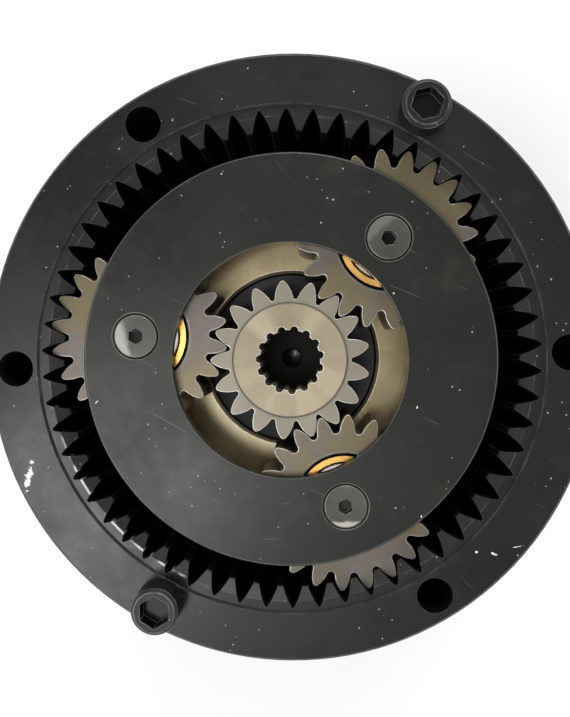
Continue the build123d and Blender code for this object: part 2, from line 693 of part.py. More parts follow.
with BuildPart() as carrier_cover:
    with BuildSketch(Plane.XY.offset(h(COVER_LOW))):
        Circle(COVER_OUT_R)
        Circle(COVER_IN_R, mode=Mode.SUBTRACT)
        with PolarLocations(CENTRE_R, 3, start_angle=STAGE1_FIRST):
            Circle(4.2, mode=Mode.SUBTRACT)
    extrude(amount=COVER_LOW - COVER_TOP)
    chamfer(carrier_cover.edges().filter_by(GeomType.CIRCLE).group_by(SortBy.RADIUS)[-1], 0.5)
    with BuildSketch(Plane.XY.offset(h(COVER_TOP))):
        with PolarLocations(CENTRE_R, 3, start_angle=STAGE1_FIRST):
            Circle(8.6)
    extrude(amount=-4.4, taper=45, mode=Mode.SUBTRACT)
carrier_cover.part.label = "carrier_cover"
export_step(carrier_cover.part, "parts/carrier_cover.step")

with BuildPart() as carrier_cover_screws:
    for a in STAGE1:
        x, y, _ = at(a, CENTRE_R)
        with BuildSketch(Plane(origin=(x, y, 0), x_dir=(1, 0, 0), z_dir=(0, -1, 0))):
            with BuildLine():
                Polyline(*csk_profile(COVER_TOP + 0.1, 22.0), close=True)
            make_face()
        revolve(axis=Axis(origin=(x, y, 0), direction=(0, 0, 1)))
        with BuildSketch(turned(a, CENTRE_R, COVER_TOP + 3.4, CSK_TWIST[STAGE1.index(a)])):
            RegularPolygon(radius=2.5, side_count=6, major_radius=False)
        extrude(amount=4, mode=Mode.SUBTRACT)
carrier_cover_screws.part.label = "carrier_cover_screws"
export_step(carrier_cover_screws.part, "parts/carrier_cover_screws.step")

# ------------------------------------------------------------- first stage planets
for i, place in enumerate(STAGE1):
    with BuildPart() as planet:
        with BuildSketch(turned(place, CENTRE_R, P1_LOW - 0.5, place + planet_offset(place))):
            with BuildLine():
                for e in outer_teeth(PLANET_TEETH, MODULE, 0, ALPHA, PLANET_TIP_R, PLANET_ROOT_R, BACKLASH, 0, PLANET_FOOT_R, 0.45):
                    ThreePointArc(*e) if len(e) == 3 else Line(*e)
            make_face()
            Circle(BORE_R, mode=Mode.SUBTRACT)
        extrude(amount=P1_LOW - 0.5 - P1_TOP)
        chamfer(planet.edges().filter_by(GeomType.CIRCLE).filter_by(lambda q: abs(q.radius - BORE_R) < 0.01), 0.5)
    planet.part.label = "first_planet_%d" % (i + 1)
    export_step(planet.part, "parts/first_planet_%d.step" % (i + 1))

# -------------------------------------------------- needle bearings of all planets
# cage with its pockets, and loose needles, one of each per planet
NEEDLES, NEEDLE_R, NEEDLE_PITCH_R = 18, 1.68, 16.75
for stage, places, top, low in (("first", STAGE1, P1_TOP + 0.3, P1_LOW - 0.9), ("second", STAGE2, P2_TOP + 0.3, P2_LOW - 0.4)):
    for i, place in enumerate(places):
        with BuildPart() as needle_cage:
            with BuildSketch(turned(place, CENTRE_R, low, place)):
                Circle(17.65)
                Circle(15.55, mode=Mode.SUBTRACT)
            extrude(amount=low - top)
            with BuildSketch(turned(place, CENTRE_R, low - 2.3, place)):
                with PolarLocations(NEEDLE_PITCH_R, NEEDLES):
                    Circle(NEEDLE_R + 0.08)
            extrude(amount=low - top - 4.6, mode=Mode.SUBTRACT)
        needle_cage.part.label = "%s_needle_cage_%d" % (stage, i + 1)
        export_step(needle_cage.part, "parts/%s_needle_cage_%d.step" % (stage, i + 1))
        with BuildPart() as needles:
            with BuildSketch(turned(place, CENTRE_R, low - 2.5, place)):
                with PolarLocations(NEEDLE_PITCH_R, NEEDLES):
                    Circle(NEEDLE_R)
            extrude(amount=low - top - 5.0)
        needles.part.label = "%s_needles_%d" % (stage, i + 1)
        export_step(needles.part, "parts/%s_needles_%d.step" % (stage, i + 1))

# ---------------------------------------------------------------------- input sun
with BuildPart() as input_sun:
    with BuildSketch(Plane.XY.offset(h(SUN1_LOW))):
        with BuildLine():
            for e in outer_teeth(SUN1_TEETH, MODULE, SUN1_SHIFT, ALPHA, SUN1_TIP_R, SUN1_ROOT_R, BACKLASH, SUN1_PHASE, SUN1_FOOT_R, 0.45):
                ThreePointArc(*e) if len(e) == 3 else Line(*e)
        make_face()
    extrude(amount=SUN1_LOW - SUN1_TOP)
    with BuildSketch(Plane.XY.offset(h(SUN1_TOP + 0.5))):
        Circle(SUN1_BOSS_R)
    extrude(amount=SUN1_TOP + 0.5 - SUN1_BOSS)
    chamfer(input_sun.edges().filter_by(GeomType.CIRCLE).group_by(Axis.Z)[-1], 0.4)
    with BuildSketch(Plane.XY.offset(h(SUN1_LOW + 1))):
        with BuildLine():
            for e in inner_teeth(SPLINE_TEETH, SPLINE_MODULE, 0, 30, SPLINE_MINOR_R, SPLINE_MAJOR_R, 0.35, 0.05, SPLINE_PHASE):
                ThreePointArc(*e)
        make_face()
    extrude(amount=SUN1_LOW + 2, mode=Mode.SUBTRACT)
input_sun.part.label = "input_sun"
export_step(input_sun.part, "parts/input_sun.step")
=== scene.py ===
import bpy, bmesh, math, random
from mathutils import Matrix, Vector

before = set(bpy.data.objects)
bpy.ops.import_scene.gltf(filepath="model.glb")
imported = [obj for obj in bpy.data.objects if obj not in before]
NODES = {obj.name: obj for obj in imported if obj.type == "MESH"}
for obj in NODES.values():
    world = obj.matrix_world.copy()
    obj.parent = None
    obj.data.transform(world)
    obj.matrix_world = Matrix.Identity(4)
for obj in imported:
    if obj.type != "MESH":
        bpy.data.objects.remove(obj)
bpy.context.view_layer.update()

# ------------------------------------------------------------------ view settings
sc = bpy.context.scene
sc.view_settings.view_transform = "Standard"
sc.view_settings.look = "None"
sc.view_settings.exposure = 0.0
sc.view_settings.gamma = 1.0

TOP = 0.300  # ring gear's top face

# =========================================================== node helper functions


class Nt:
    """A small helper that writes one material's node tree."""

    def __init__(self, name):
        self.mat = bpy.data.materials.new(name)
        self.mat.use_nodes = True
        self.t = self.mat.node_tree
        for n in list(self.t.nodes):
            self.t.nodes.remove(n)
        self.out = self.t.nodes.new("ShaderNodeOutputMaterial")
        self.b = self.t.nodes.new("ShaderNodeBsdfPrincipled")
        self.t.links.new(self.b.outputs[0], self.out.inputs[0])
        self.co = self.t.nodes.new("ShaderNodeTexCoord").outputs["Object"]

    def link(self, a, b):
        self.t.links.new(a, b)

    def put(self, sock, v):
        if isinstance(v, bpy.types.NodeSocket):
            self.t.links.new(v, sock)
        elif v is not None:
            sock.default_value = v

    def math(self, op, a, b=None, c=None, clamp=False):
        n = self.t.nodes.new("ShaderNodeMath")
        n.operation = op
        n.use_clamp = clamp
        self.put(n.inputs[0], a)
        if b is not None:
            self.put(n.inputs[1], b)
        if c is not None:
            self.put(n.inputs[2], c)
        return n.outputs[0]

    def vmath(self, op, a, b=None):
        n = self.t.nodes.new("ShaderNodeVectorMath")
        n.operation = op
        self.put(n.inputs[0], a)
        if b is not None:
            self.put(n.inputs[1], b)
        return n.outputs[0] if op not in ("LENGTH", "DISTANCE", "DOT_PRODUCT") else n.outputs[1]

    def map(self, v, scale=(1, 1, 1), rot=(0, 0, 0), loc=(0, 0, 0)):
        n = self.t.nodes.new("ShaderNodeMapping")
        self.link(v, n.inputs[0])
        n.inputs["Scale"].default_value = scale
        n.inputs["Rotation"].default_value = rot
        n.inputs["Location"].default_value = loc
        return n.outputs[0]

    def noise(self, scale, detail=3.0, rough=0.5, v=None, distort=0.0, dims="3D", w=None):
        n = self.t.nodes.new("ShaderNodeTexNoise")
        n.noise_dimensions = dims
        if dims == "1D":
            self.put(n.inputs["W"], w)
        else:
            self.put(n.inputs["Vector"], v if v is not None else self.co)
        n.inputs["Scale"].default_value = scale
        n.inputs["Detail"].default_value = detail
        n.inputs["Roughness"].default_value = rough
        n.inputs["Distortion"].default_value = distort
        return n.outputs[0]

    def voronoi(self, scale, v=None, feature="F1", rand=1.0, out="Distance"):
        n = self.t.nodes.new("ShaderNodeTexVoronoi")
        n.feature = feature
        self.put(n.inputs["Vector"], v if v is not None else self.co)
        n.inputs["Scale"].default_value = scale
        n.inputs["Randomness"].default_value = rand
        return n.outputs[out]

    def ramp(self, f, stops, mode="LINEAR"):
        n = self.t.nodes.new("ShaderNodeValToRGB")
        self.put(n.inputs[0], f)
        n.color_ramp.interpolation = mode
        e = n.color_ramp.elements
        while len(e) < len(stops):
            e.new(0.5)
        for el, (p, c) in zip(e, stops):
            el.position = p
            el.color = (c, c, c, 1) if not isinstance(c, (tuple, list)) else (*c[:3], 1)
        return n.outputs[0]

    def mix(self, f, a, b, blend="MIX"):
        n = self.t.nodes.new("ShaderNodeMix")
        n.data_type = "RGBA"
        n.blend_type = blend
        self.put(n.inputs[0], f)
        self.put(n.inputs[6], a if isinstance(a, bpy.types.NodeSocket) else (*a[:3], 1))
        self.put(n.inputs[7], b if isinstance(b, bpy.types.NodeSocket) else (*b[:3], 1))
        return n.outputs[2]

    def fmix(self, f, a, b):
        n = self.t.nodes.new("ShaderNodeMix")
        n.data_type = "FLOAT"
        self.put(n.inputs[0], f)
        self.put(n.inputs[2], a)
        self.put(n.inputs[3], b)
        return n.outputs[0]

    def smooth(self, f, lo, hi):
        """0 below lo, 1 above hi."""
        n = self.t.nodes.new("ShaderNodeMapRange")
        n.interpolation_type = "SMOOTHSTEP"
        self.put(n.inputs["Value"], f)
        n.inputs["From Min"].default_value = lo
        n.inputs["From Max"].default_value = hi
        n.inputs["To Min"].default_value = 0.0
        n.inputs["To Max"].default_value = 1.0
        return n.outputs["Result"]

    def sep(self, v):
        n = self.t.nodes.new("ShaderNodeSeparateXYZ")
        self.link(v, n.inputs[0])
        return n.outputs

    def comb(self, x, y, z):
        n = self.t.nodes.new("ShaderNodeCombineXYZ")
        for s, q in zip(n.inputs, (x, y, z)):
            self.put(s, q)
        return n.outputs[0]

    def bump(self, h, strength, dist, normal=None):
        n = self.t.nodes.new("ShaderNodeBump")
        n.inputs["Strength"].default_value = strength
        n.inputs["Distance"].default_value = dist
        self.put(n.inputs["Height"], h)
        if normal is not None:
            self.link(normal, n.inputs["Normal"])
        return n.outputs[0]

    def normal_z(self):
        """How far the true surface faces straight up or down, 0 to 1."""
        n = self.t.nodes.new("ShaderNodeNewGeometry")
        return self.math("ABSOLUTE", self.sep(n.outputs["True Normal"])[2])

    def radius(self, cx=0.0, cy=0.0, mirrored=False):
        """Distance from an upright line; mirrored also counts its twin across y = 0."""
        x, y, z = self.sep(self.co)[:3]
        if mirrored:
            y = self.math("ABSOLUTE", y)
        dx = self.math("SUBTRACT", x, cx)
        dy = self.math("SUBTRACT", y, cy)
        return self.math("SQRT", self.math("ADD", self.math("MULTIPLY", dx, dx), self.math("MULTIPLY", dy, dy)))


def speck_mask(n, scale, keep, size, v=None):
    """Small irregular dots: a few cells of a Voronoi pattern, each with its own size."""
    vor = n.t.nodes.new("ShaderNodeTexVoronoi")
    n.put(vor.inputs["Vector"], v if v is not None else n.co)
    vor.inputs["Scale"].default_value = scale
    wob = n.math("MULTIPLY", n.math("SUBTRACT", n.noise(scale * 3, 1.0), 0.5), size * 0.9)
    d = n.math("ADD", vor.outputs["Distance"], wob)
    pick = n.sep(vor.outputs["Color"])[0]
    own = n.math("MULTIPLY", n.smooth(pick, 1 - keep, 1.0), size)
    return n.smooth(n.math("SUBTRACT", own, d), -size * 0.12, size * 0.22)


def scratch_mask(n, angle, along, across, low, high, seed=0.0, bend=0.0):
    """Long thin marks that run one way: stretched noise, cut near its crest."""
    v = n.co
    if bend:
        w = n.noise(9.0, 1.0)
        v = n.vmath("ADD", n.co, n.comb(n.math("MULTIPLY", w, bend), n.math("MULTIPLY", w, -bend), 0.0))
    m = n.map(v, scale=(along, across, along), rot=(0, 0, angle), loc=(seed, seed * 1.7, 0))
    return n.smooth(n.noise(1.0, 2.0, 0.55, v=m), low, high)


# ================================================================== the materials
# Each maker returns one material; face and edge materials come from separate calls, and the edge one goes on the
# bevelled corners, where handling has rubbed the finish away.

def finish_bump(n, fine=0.000012, amount=0.25, scale=1400.0, extra=None):
    h = n.noise(scale, 3.0, 0.6)
    if extra is not None:
        h = n.math("ADD", h, extra)
    return n.bump(h, amount, fine)


def black_oxide(name, base=(0.0052, 0.0054, 0.0050), rough=0.29, dust=1.0, marks=(), turned=True, edge=False, spec=0.33, lit_edge_nicks=None, socket_shade=(), gap_shade=None, wall_lift=None):
    n = Nt(name)
    cloud = n.noise(18.0, 4.0, 0.55)
    fine = n.noise(160.0, 3.0, 0.6)
    col = n.mix(n.smooth(cloud, 0.35, 0.68), [c * 0.80 for c in base], [c * 1.35 for c in base])
    col = n.mix(n.math("MULTIPLY", n.smooth(fine, 0.45, 0.75), 0.35), col, [c * 1.9 for c in base])
    grain = n.noise(620.0, 4.0, 0.72)
    col = n.mix(n.math("MULTIPLY", n.smooth(grain, 0.52, 0.74), 0.45), col, [c * 2.6 for c in base])
    # brownish stains where the oil has dried
    stain = n.smooth(n.noise(30.0, 3.0, 0.6, v=n.map(n.co, loc=(0.3, 0.1, 0))), 0.56, 0.72)
    col = n.mix(n.math("MULTIPLY", stain, 0.30), col, (0.036, 0.030, 0.021))
    rg = n.fmix(n.smooth(cloud, 0.3, 0.7), rough - 0.05, rough + 0.09)
    rg = n.math("ADD", rg, n.math("MULTIPLY", n.math("SUBTRACT", fine, 0.5), 0.16))
    extra = None
    if turned:
        # faint lathe rings on faces that look up, faint bands on the outside
        r = n.radius()
        z = n.sep(n.co)[2]
        along = n.math("ADD", r, n.math("MULTIPLY", z, 0.93))
        rings = n.noise(2600.0, 2.0, 0.6, dims="1D", w=along)
        extra = n.math("MULTIPLY", rings, 0.55)
        rg = n.math("ADD", rg, n.math("MULTIPLY", n.math("SUBTRACT", rings, 0.5), 0.09))
    # scratches, short and long
    s = n.math("MAXIMUM", scratch_mask(n, 0.5, 14, 900, 0.735, 0.77, 2.3, 0.02),
               n.math("MAXIMUM", scratch_mask(n, 1.9, 22, 1300, 0.745, 0.775, 7.1, 0.03),
                      n.math("MAXIMUM", scratch_mask(n, -0.7, 11, 1100, 0.75, 0.78, 11.9, 0.01),
                             scratch_mask(n, 1.2, 46, 1500, 0.735, 0.775, 4.7, 0.09))))
    s = n.math("MULTIPLY", s, n.smooth(n.noise(26.0, 2.0), 0.38, 0.58))
    col = n.mix(n.math("MULTIPLY", s, 0.50), col, (0.13, 0.13, 0.122))
    d = None
    if dust:
        d = speck_mask(n, 150.0, 0.60 * dust, 0.056)
        d = n.math("MAXIMUM", d, speck_mask(n, 320.0, 0.55 * dust, 0.11, v=n.map(n.co, loc=(0.7, 0.2, 0.4))))
        up = n.smooth(n.normal_z(), 0.5, 0.9)
        d = n.math("MULTIPLY", d, up)
        col = n.mix(n.math("MULTIPLY", d, 0.75), col, (0.40, 0.40, 0.38))
        rg = n.fmix(d, rg, 0.75)
        pit = n.math("MULTIPLY", speck_mask(n, 150.0, 0.34 * dust, 0.060, v=n.map(n.co, loc=(0.21, 0.53, 0.1))), up)
        col = n.mix(n.math("MULTIPLY", pit, 0.85), col, (0.0016, 0.0016, 0.0014))
        rg = n.fmix(pit, rg, 0.80)
    for (cx, cy, sx, sy, turn, cut) in marks:
        # a chipped patch: noise cut inside a small leaning oval
        q = n.map(n.co, loc=(-cx, -cy, 0))
        q = n.map(q, rot=(0, 0, -turn))
        q = n.map(q, scale=(1.0 / sx, 1.0 / sy, 0.0))
        dist = n.vmath("LENGTH", q)
        blot = n.math("ADD", n.math("MULTIPLY", n.noise(520.0, 4.0, 0.68), 1.0), n.math("MULTIPLY", n.math("SUBTRACT", 1.0, dist), 0.55))
        m = n.math("MULTIPLY", n.smooth(blot, cut, cut + 0.05), n.smooth(n.math("SUBTRACT", 1.15, dist), 0.0, 0.35))
        col = n.mix(m, col, (0.72, 0.73, 0.73))
        rg = n.fmix(m, rg, 0.55)
    if lit_edge_nicks:
        # bright metal along the upper edge of the taper: a painted highlight on the side that faces the key light,
        # broken into short nicks
        r0, az, spread = lit_edge_nicks
        x, y = n.sep(n.co)[:2]
        toward = n.math("DIVIDE", n.math("ADD", n.math("MULTIPLY", x, math.cos(math.radians(az))), n.math("MULTIPLY", y, math.sin(math.radians(az)))), r0)
        off = n.math("ABSOLUTE", n.math("SUBTRACT", n.radius(), r0))
        m = n.math("MULTIPLY", n.smooth(off, 0.00050, 0.00022), n.smooth(toward, math.cos(math.radians(spread)), math.cos(math.radians(spread * 0.6))))
        m = n.math("MULTIPLY", m, n.smooth(n.noise(75.0, 2.0, 0.6), 0.46, 0.54))
        col = n.mix(m, col, (0.55, 0.55, 0.53))
    if edge:
        wear = n.smooth(n.noise(90.0, 4.0, 0.65), 0.40, 0.62)
        col = n.mix(n.math("MULTIPLY", wear, 0.75), col, (0.16, 0.16, 0.155))
        rg = n.fmix(wear, rg, 0.30)
    n.b.inputs["Specular IOR Level"].default_value = spec
    if wall_lift:
        # painted light: the upright step of the register is painted lighter in patches, lifting the shade that falls on
        # it
        m = n.math("MULTIPLY", n.smooth(n.math("ABSOLUTE", n.math("SUBTRACT", n.radius(), wall_lift)), 0.0008, 0.0004), n.smooth(n.normal_z(), 0.7, 0.3))
        col = n.mix(n.math("MULTIPLY", m, n.fmix(n.noise(60.0, 2.0), 0.3, 0.8)), col, (0.075, 0.075, 0.071))
    if gap_shade:
        # painted shade: the tooth gaps are painted dark and dull below their mouths
        r1, z1, z2 = gap_shade
        m = n.math("MULTIPLY", n.smooth(n.radius(), r1 + 0.0002, r1), n.smooth(n.sep(n.co)[2], z1, z2))
        col = n.mix(m, col, (0.0014, 0.0013, 0.0012))
        rg = n.fmix(m, rg, 0.80)
        n.put(n.b.inputs["Specular IOR Level"], n.fmix(m, spec, 0.05))
    for (cx, cy, r0, z0, tone, sp, ro) in socket_shade:
        # painted shade at the bottom of a socket, darker and with its own gloss
        m = n.math("MULTIPLY", n.smooth(n.radius(cx, cy, True), r0 + 0.0003, r0), n.smooth(n.sep(n.co)[2], z0 + 0.0004, z0 - 0.0006))
        col = n.mix(m, col, tone)
        rg = n.fmix(m, rg, ro)
        n.put(n.b.inputs["Specular IOR Level"], n.fmix(m, spec, sp))
    n.put(n.b.inputs["Base Color"], col)
    n.put(n.b.inputs["Roughness"], rg)
    n.b.inputs["Metallic"].default_value = 0.0
    n.put(n.b.inputs["Normal"], finish_bump(n, 0.000010, 0.30, 900.0, extra))
    return n.mat


def gear_steel(name, base, alt, tint, rough=0.34, turned=None, edge=False, specks=0.5, metal=0.85, tint_amt=0.5, sector=None, seed=0.0, rubbed=(), below=None, groove=None, tint_cut=(0.50, 0.70), painted_sheen=None, hex_shade=()):
    """Ground or carburised steel: cloudy two-tone base, oxide tints, fine grinding marks."""
    n = Nt(name)
    co = n.map(n.co, loc=(seed, seed * 0.6, 0))
    cloud = n.noise(42.0, 4.0, 0.55, v=co)
    col = n.mix(n.smooth(cloud, 0.33, 0.67), base, alt)
    tm = n.smooth(n.noise(28.0, 3.0, 0.6, v=n.map(co, loc=(0.9, 0.3, 0.0))), *tint_cut)
    col = n.mix(n.math("MULTIPLY", tm, tint_amt), col, tint)
    fine = n.noise(420.0, 3.0, 0.65, v=co)
    col = n.mix(n.math("MULTIPLY", n.smooth(fine, 0.50, 0.80), 0.30), col, [c * 0.55 for c in base])
    if sector:
        # tones that fan out from the axis, left by facing cuts
        x, y = n.sep(n.co)[:2]
        ang = n.math("ARCTAN2", y, x)
        f = n.noise(1.7, 1.0, 0.5, v=n.comb(n.math("COSINE", ang), n.math("SINE", ang), 0.0))
        col = n.mix(n.math("MULTIPLY", n.smooth(f, 0.42, 0.60), sector), col, [min(1.0, c * 1.35) for c in alt])
    rg = n.fmix(n.smooth(cloud, 0.3, 0.7), rough - 0.05, rough + 0.08)
    extra = None
    if turned is not None:
        r = n.radius(*turned)
        rings = n.noise(3200.0, 2.0, 0.6, dims="1D", w=r)
        extra = n.math("MULTIPLY", rings, 0.6)
        rg = n.math("ADD", rg, n.math("MULTIPLY", n.math("SUBTRACT", rings, 0.5), 0.10))
    s = n.math("MAXIMUM", scratch_mask(n, 0.9 + seed, 20, 1200, 0.735, 0.77, 3.3 + seed, 0.02), scratch_mask(n, -0.6 + seed, 28, 1500, 0.74, 0.775, 8.1 + seed, 0.02))
    col = n.mix(n.math("MULTIPLY", s, 0.5), col, [min(1.0, c * 1.7) for c in alt])
    if specks:
        d = speck_mask(n, 150.0, 0.10 * specks, 0.08)
        col = n.mix(n.math("MULTIPLY", d, 0.7), col, (0.03, 0.022, 0.014))
    if below:
        # faces under this height kept a duller, greyer skin
        z0, tone = below
        under = n.math("SUBTRACT", 1.0, n.smooth(n.sep(n.co)[2], z0 - 0.0001, z0 + 0.0001))
        col = n.mix(n.math("MULTIPLY", under, 0.8), col, tone)
    for (cx, cy, az, lo, hi, tone) in rubbed:
        # a bright crescent rubbed on one side of a round head
        x, y = n.sep(n.co)[:2]
        dx = n.math("SUBTRACT", x, cx)
        dy = n.math("SUBTRACT", y, cy)
        along = n.math("ADD", n.math("MULTIPLY", dx, math.cos(math.radians(az))), n.math("MULTIPLY", dy, math.sin(math.radians(az))))
        across = n.math("ABSOLUTE", n.math("SUBTRACT", n.math("MULTIPLY", dx, math.sin(math.radians(az))), n.math("MULTIPLY", dy, math.cos(math.radians(az)))))
        wob = n.math("MULTIPLY", n.math("SUBTRACT", n.noise(420.0, 3.0, 0.6), 0.5), 0.0022)
        m = n.math("MULTIPLY", n.smooth(n.math("ADD", along, wob), lo, hi), n.smooth(across, 0.0085, 0.0068))
        m = n.math("MULTIPLY", m, n.smooth(along, 0.0105, 0.0095))
        col = n.mix(n.math("MULTIPLY", m, 0.85), col, tone)
        rg = n.fmix(m, rg, 0.42)
    if edge:
        wear = n.smooth(n.noise(120.0, 3.0, 0.6), 0.30, 0.60)
        col = n.mix(n.math("MULTIPLY", n.math("ADD", n.math("MULTIPLY", wear, 0.55), 0.25), float(edge)), col, (0.78, 0.76, 0.72))
        rg = n.math("MULTIPLY", rg, 0.72)
    if painted_sheen:
        # painted sheen: one side of the plate is painted paler and smoother near its bore, standing in for a reflection
        # of the lights
        az, spread, r0, r1, tone = painted_sheen
        x, y = n.sep(n.co)[:2]
        rr = n.radius()
        toward = n.math("DIVIDE", n.math("ADD", n.math("MULTIPLY", x, math.cos(math.radians(az))), n.math("MULTIPLY", y, math.sin(math.radians(az)))), rr)
        m = n.math("MULTIPLY", n.smooth(toward, math.cos(math.radians(spread)), math.cos(math.radians(spread * 0.35))), n.smooth(rr, r1, r0))
        m = n.math("MULTIPLY", m, n.fmix(n.noise(95.0, 3.0, 0.6), 0.65, 1.0))
        col = n.mix(m, col, tone)
        rg = n.fmix(m, rg, 0.40)
    for (cx, cy, r0, z0, amt) in hex_shade:
        # painted shade in a hexagon socket
        m = n.math("MULTIPLY", n.smooth(n.radius(cx, cy), r0 + 0.0002, r0), n.smooth(n.sep(n.co)[2], z0 + 0.0002, z0 - 0.0004))
        col = n.mix(n.math("MULTIPLY", m, amt), col, (0.004, 0.004, 0.003))
        rg = n.fmix(n.math("MULTIPLY", m, amt), rg, 0.85)
    if groove:
        r0, r1, tone = groove
        rr = n.radius()
        m = n.math("MULTIPLY", n.smooth(rr, r0 - 0.0002, r0), n.smooth(rr, r1 + 0.0002, r1))
        col = n.mix(n.math("MULTIPLY", m, 0.85), col, tone)
        rg = n.fmix(m, rg, 0.6)
    n.put(n.b.inputs["Base Color"], col)
    n.put(n.b.inputs["Roughness"], rg)
    n.b.inputs["Metallic"].default_value = metal
    n.put(n.b.inputs["Normal"], finish_bump(n, 0.000010, 0.35, 1100.0, extra))
    return n.mat


def cast_paint(name):
    """Dark satin paint over a sand casting."""
    n = Nt(name)
    cloud = n.noise(14.0, 3.0, 0.5)
    col = n.mix(n.smooth(cloud, 0.35, 0.65), (0.018, 0.0185, 0.019), (0.030, 0.031, 0.031))
    grit = n.noise(330.0, 4.0, 0.65)
    col = n.mix(n.math("MULTIPLY", n.smooth(grit, 0.55, 0.8), 0.3), col, (0.055, 0.055, 0.053))
    d = speck_mask(n, 85.0, 0.09, 0.06)
    d = n.math("MULTIPLY", d, n.smooth(n.normal_z(), 0.5, 0.9))
    col = n.mix(n.math("MULTIPLY", d, 0.6), col, (0.32, 0.31, 0.29))
    n.put(n.b.inputs["Base Color"], col)
    n.put(n.b.inputs["Roughness"], n.fmix(n.smooth(grit, 0.3, 0.7), 0.36, 0.56))
    n.b.inputs["Coat Weight"].default_value = 0.25
    n.b.inputs["Coat Roughness"].default_value = 0.35
    h = n.math("ADD", n.math("MULTIPLY", grit, 0.8), n.math("MULTIPLY", n.noise(85.0, 3.0, 0.6), 1.2))
    n.put(n.b.inputs["Normal"], n.bump(h, 0.55, 0.00016))
    return n.mat


def plain_metal(name, base, rough, metal=1.0, scale=900.0, turned=None):
    n = Nt(name)
    cloud = n.noise(60.0, 3.0, 0.55)
    col = n.mix(n.smooth(cloud, 0.35, 0.65), [c * 0.82 for c in base], [min(1.0, c * 1.12) for c in base])
    fine = n.noise(scale, 3.0, 0.6)
    rg = n.math("ADD", n.fmix(n.smooth(cloud, 0.3, 0.7), rough - 0.04, rough + 0.06), n.math("MULTIPLY", n.math("SUBTRACT", fine, 0.5), 0.12))
    extra = None
    if turned is not None:
        extra = n.math("MULTIPLY", n.noise(3000.0, 2.0, 0.6, dims="1D", w=n.radius(*turned)), 0.6)
    n.put(n.b.inputs["Base Color"], col)
    n.put(n.b.inputs["Roughness"], rg)
    n.b.inputs["Metallic"].default_value = metal
    n.put(n.b.inputs["Normal"], finish_bump(n, 0.000008, 0.3, scale, extra))
    return n.mat


def rubber(name):
    n = Nt(name)
    f = n.noise(500.0, 3.0, 0.6)
    n.put(n.b.inputs["Base Color"], n.mix(n.smooth(f, 0.4, 0.7), (0.020, 0.012, 0.008), (0.040, 0.024, 0.016)))
    n.put(n.b.inputs["Roughness"], n.fmix(f, 0.42, 0.62))
    n.put(n.b.inputs["Normal"], n.bump(f, 0.3, 0.00004))
    return n.mat


def deg(a):
    return math.radians(a)


# two chipped patches on the ring's face and one small nick by the tooth edge
CHIPS = [(-0.0642, -0.0838, 0.0100, 0.0026, deg(-75), 0.80), (0.0988, -0.0266, 0.0024, 0.0009, deg(12), 0.80),
         (0.0924, -0.0291, 0.0009, 0.0008, 0.0, 0.72), (0.1043, -0.0203, 0.0072, 0.0005, deg(40), 0.93),
         (-0.0658, -0.0777, 0.0012, 0.0010, 0.0, 0.72), (0.0774, -0.0439, 0.0013, 0.0008, deg(40), 0.70)]
# the register wall is painted lighter as painted light over its shade
# the ring and its edge material carry a painted highlight along the taper edge toward the key light (azimuth 246)
# the tooth gaps are painted dark below their mouths as painted shade
RING = black_oxide("ring_black", marks=CHIPS, dust=1.0, lit_edge_nicks=(0.0887, 246, 34), gap_shade=(0.0918, 0.2955, 0.2915), wall_lift=0.0926)
RING_EDGE = black_oxide("ring_black_edge", dust=0.0, edge=True, lit_edge_nicks=(0.0887, 246, 34))
CASE = cast_paint("housing_cast")
SCUFFS = [(0.0486, 0.0069, 0.0017, 0.0008, deg(100), 0.88), (0.0216, 0.0392, 0.0012, 0.0006, deg(-20), 0.80),
          (-0.0551, -0.0469, 0.0018, 0.0004, deg(73), 0.76), (0.0689, -0.0271, 0.0014, 0.0005, deg(118), 0.80)]
COVER = black_oxide("cover_steel", base=(0.0056, 0.0064, 0.0044), rough=0.29, dust=0.9, spec=0.30, marks=SCUFFS)
COVER_EDGE = gear_steel("cover_rim", (0.10, 0.10, 0.09), (0.16, 0.16, 0.145), (0.09, 0.09, 0.08), edge=False, metal=0.6)
PLANET = gear_steel("planet_steel", (0.088, 0.074, 0.064), (0.142, 0.122, 0.106), (0.135, 0.108, 0.052), rough=0.38, metal=0.5, tint_amt=0.85, tint_cut=(0.44, 0.58))
PLANET_EDGE = gear_steel("planet_edge", (0.17, 0.15, 0.13), (0.25, 0.225, 0.20), (0.22, 0.18, 0.10), edge=0.45, metal=0.6)
SUN = gear_steel("sun_steel", (0.215, 0.178, 0.116), (0.298, 0.248, 0.167), (0.30, 0.265, 0.165), rough=0.40, sector=0.5, turned=(0, 0), specks=0.2, metal=0.35, below=(0.2935, (0.185, 0.170, 0.135)))
SUN_EDGE = gear_steel("sun_edge", (0.34, 0.315, 0.255), (0.44, 0.41, 0.34), (0.32, 0.29, 0.20), edge=True, specks=0.0, metal=0.5, groove=(0.0195, 0.0222, (0.075, 0.065, 0.047)))
# the tinted plate carries a painted sheen, a paler patch near its bore at azimuth 254 degrees
GOLD = gear_steel("tinted_steel", (0.315, 0.245, 0.125), (0.42, 0.34, 0.195), (0.19, 0.13, 0.056), rough=0.33, turned=(0, 0), specks=2.6, metal=0.5, painted_sheen=(254, 46, 0.0335, 0.0425, (1.0, 0.86, 0.58)))
GOLD_EDGE = gear_steel("tinted_edge", (0.48, 0.41, 0.26), (0.55, 0.48, 0.33), (0.30, 0.22, 0.10), edge=True, metal=0.6)
BRONZE = plain_metal("cage_bronze", (0.62, 0.36, 0.105), 0.26)
BRIGHT = plain_metal("bright_steel", (0.62, 0.61, 0.60), 0.24)
PIN = plain_metal("pin_steel", (0.55, 0.52, 0.52), 0.26)
# the pad's centre, at the bottom of the sun's bore, is darkened as painted shade
PAD = black_oxide("pad_steel", base=(0.012, 0.0112, 0.0125), rough=0.42, dust=0.0, socket_shade=[(0.0, 0.0, 0.0132, 0.30, (0.0050, 0.0054, 0.0042), 0.16, 0.60)])
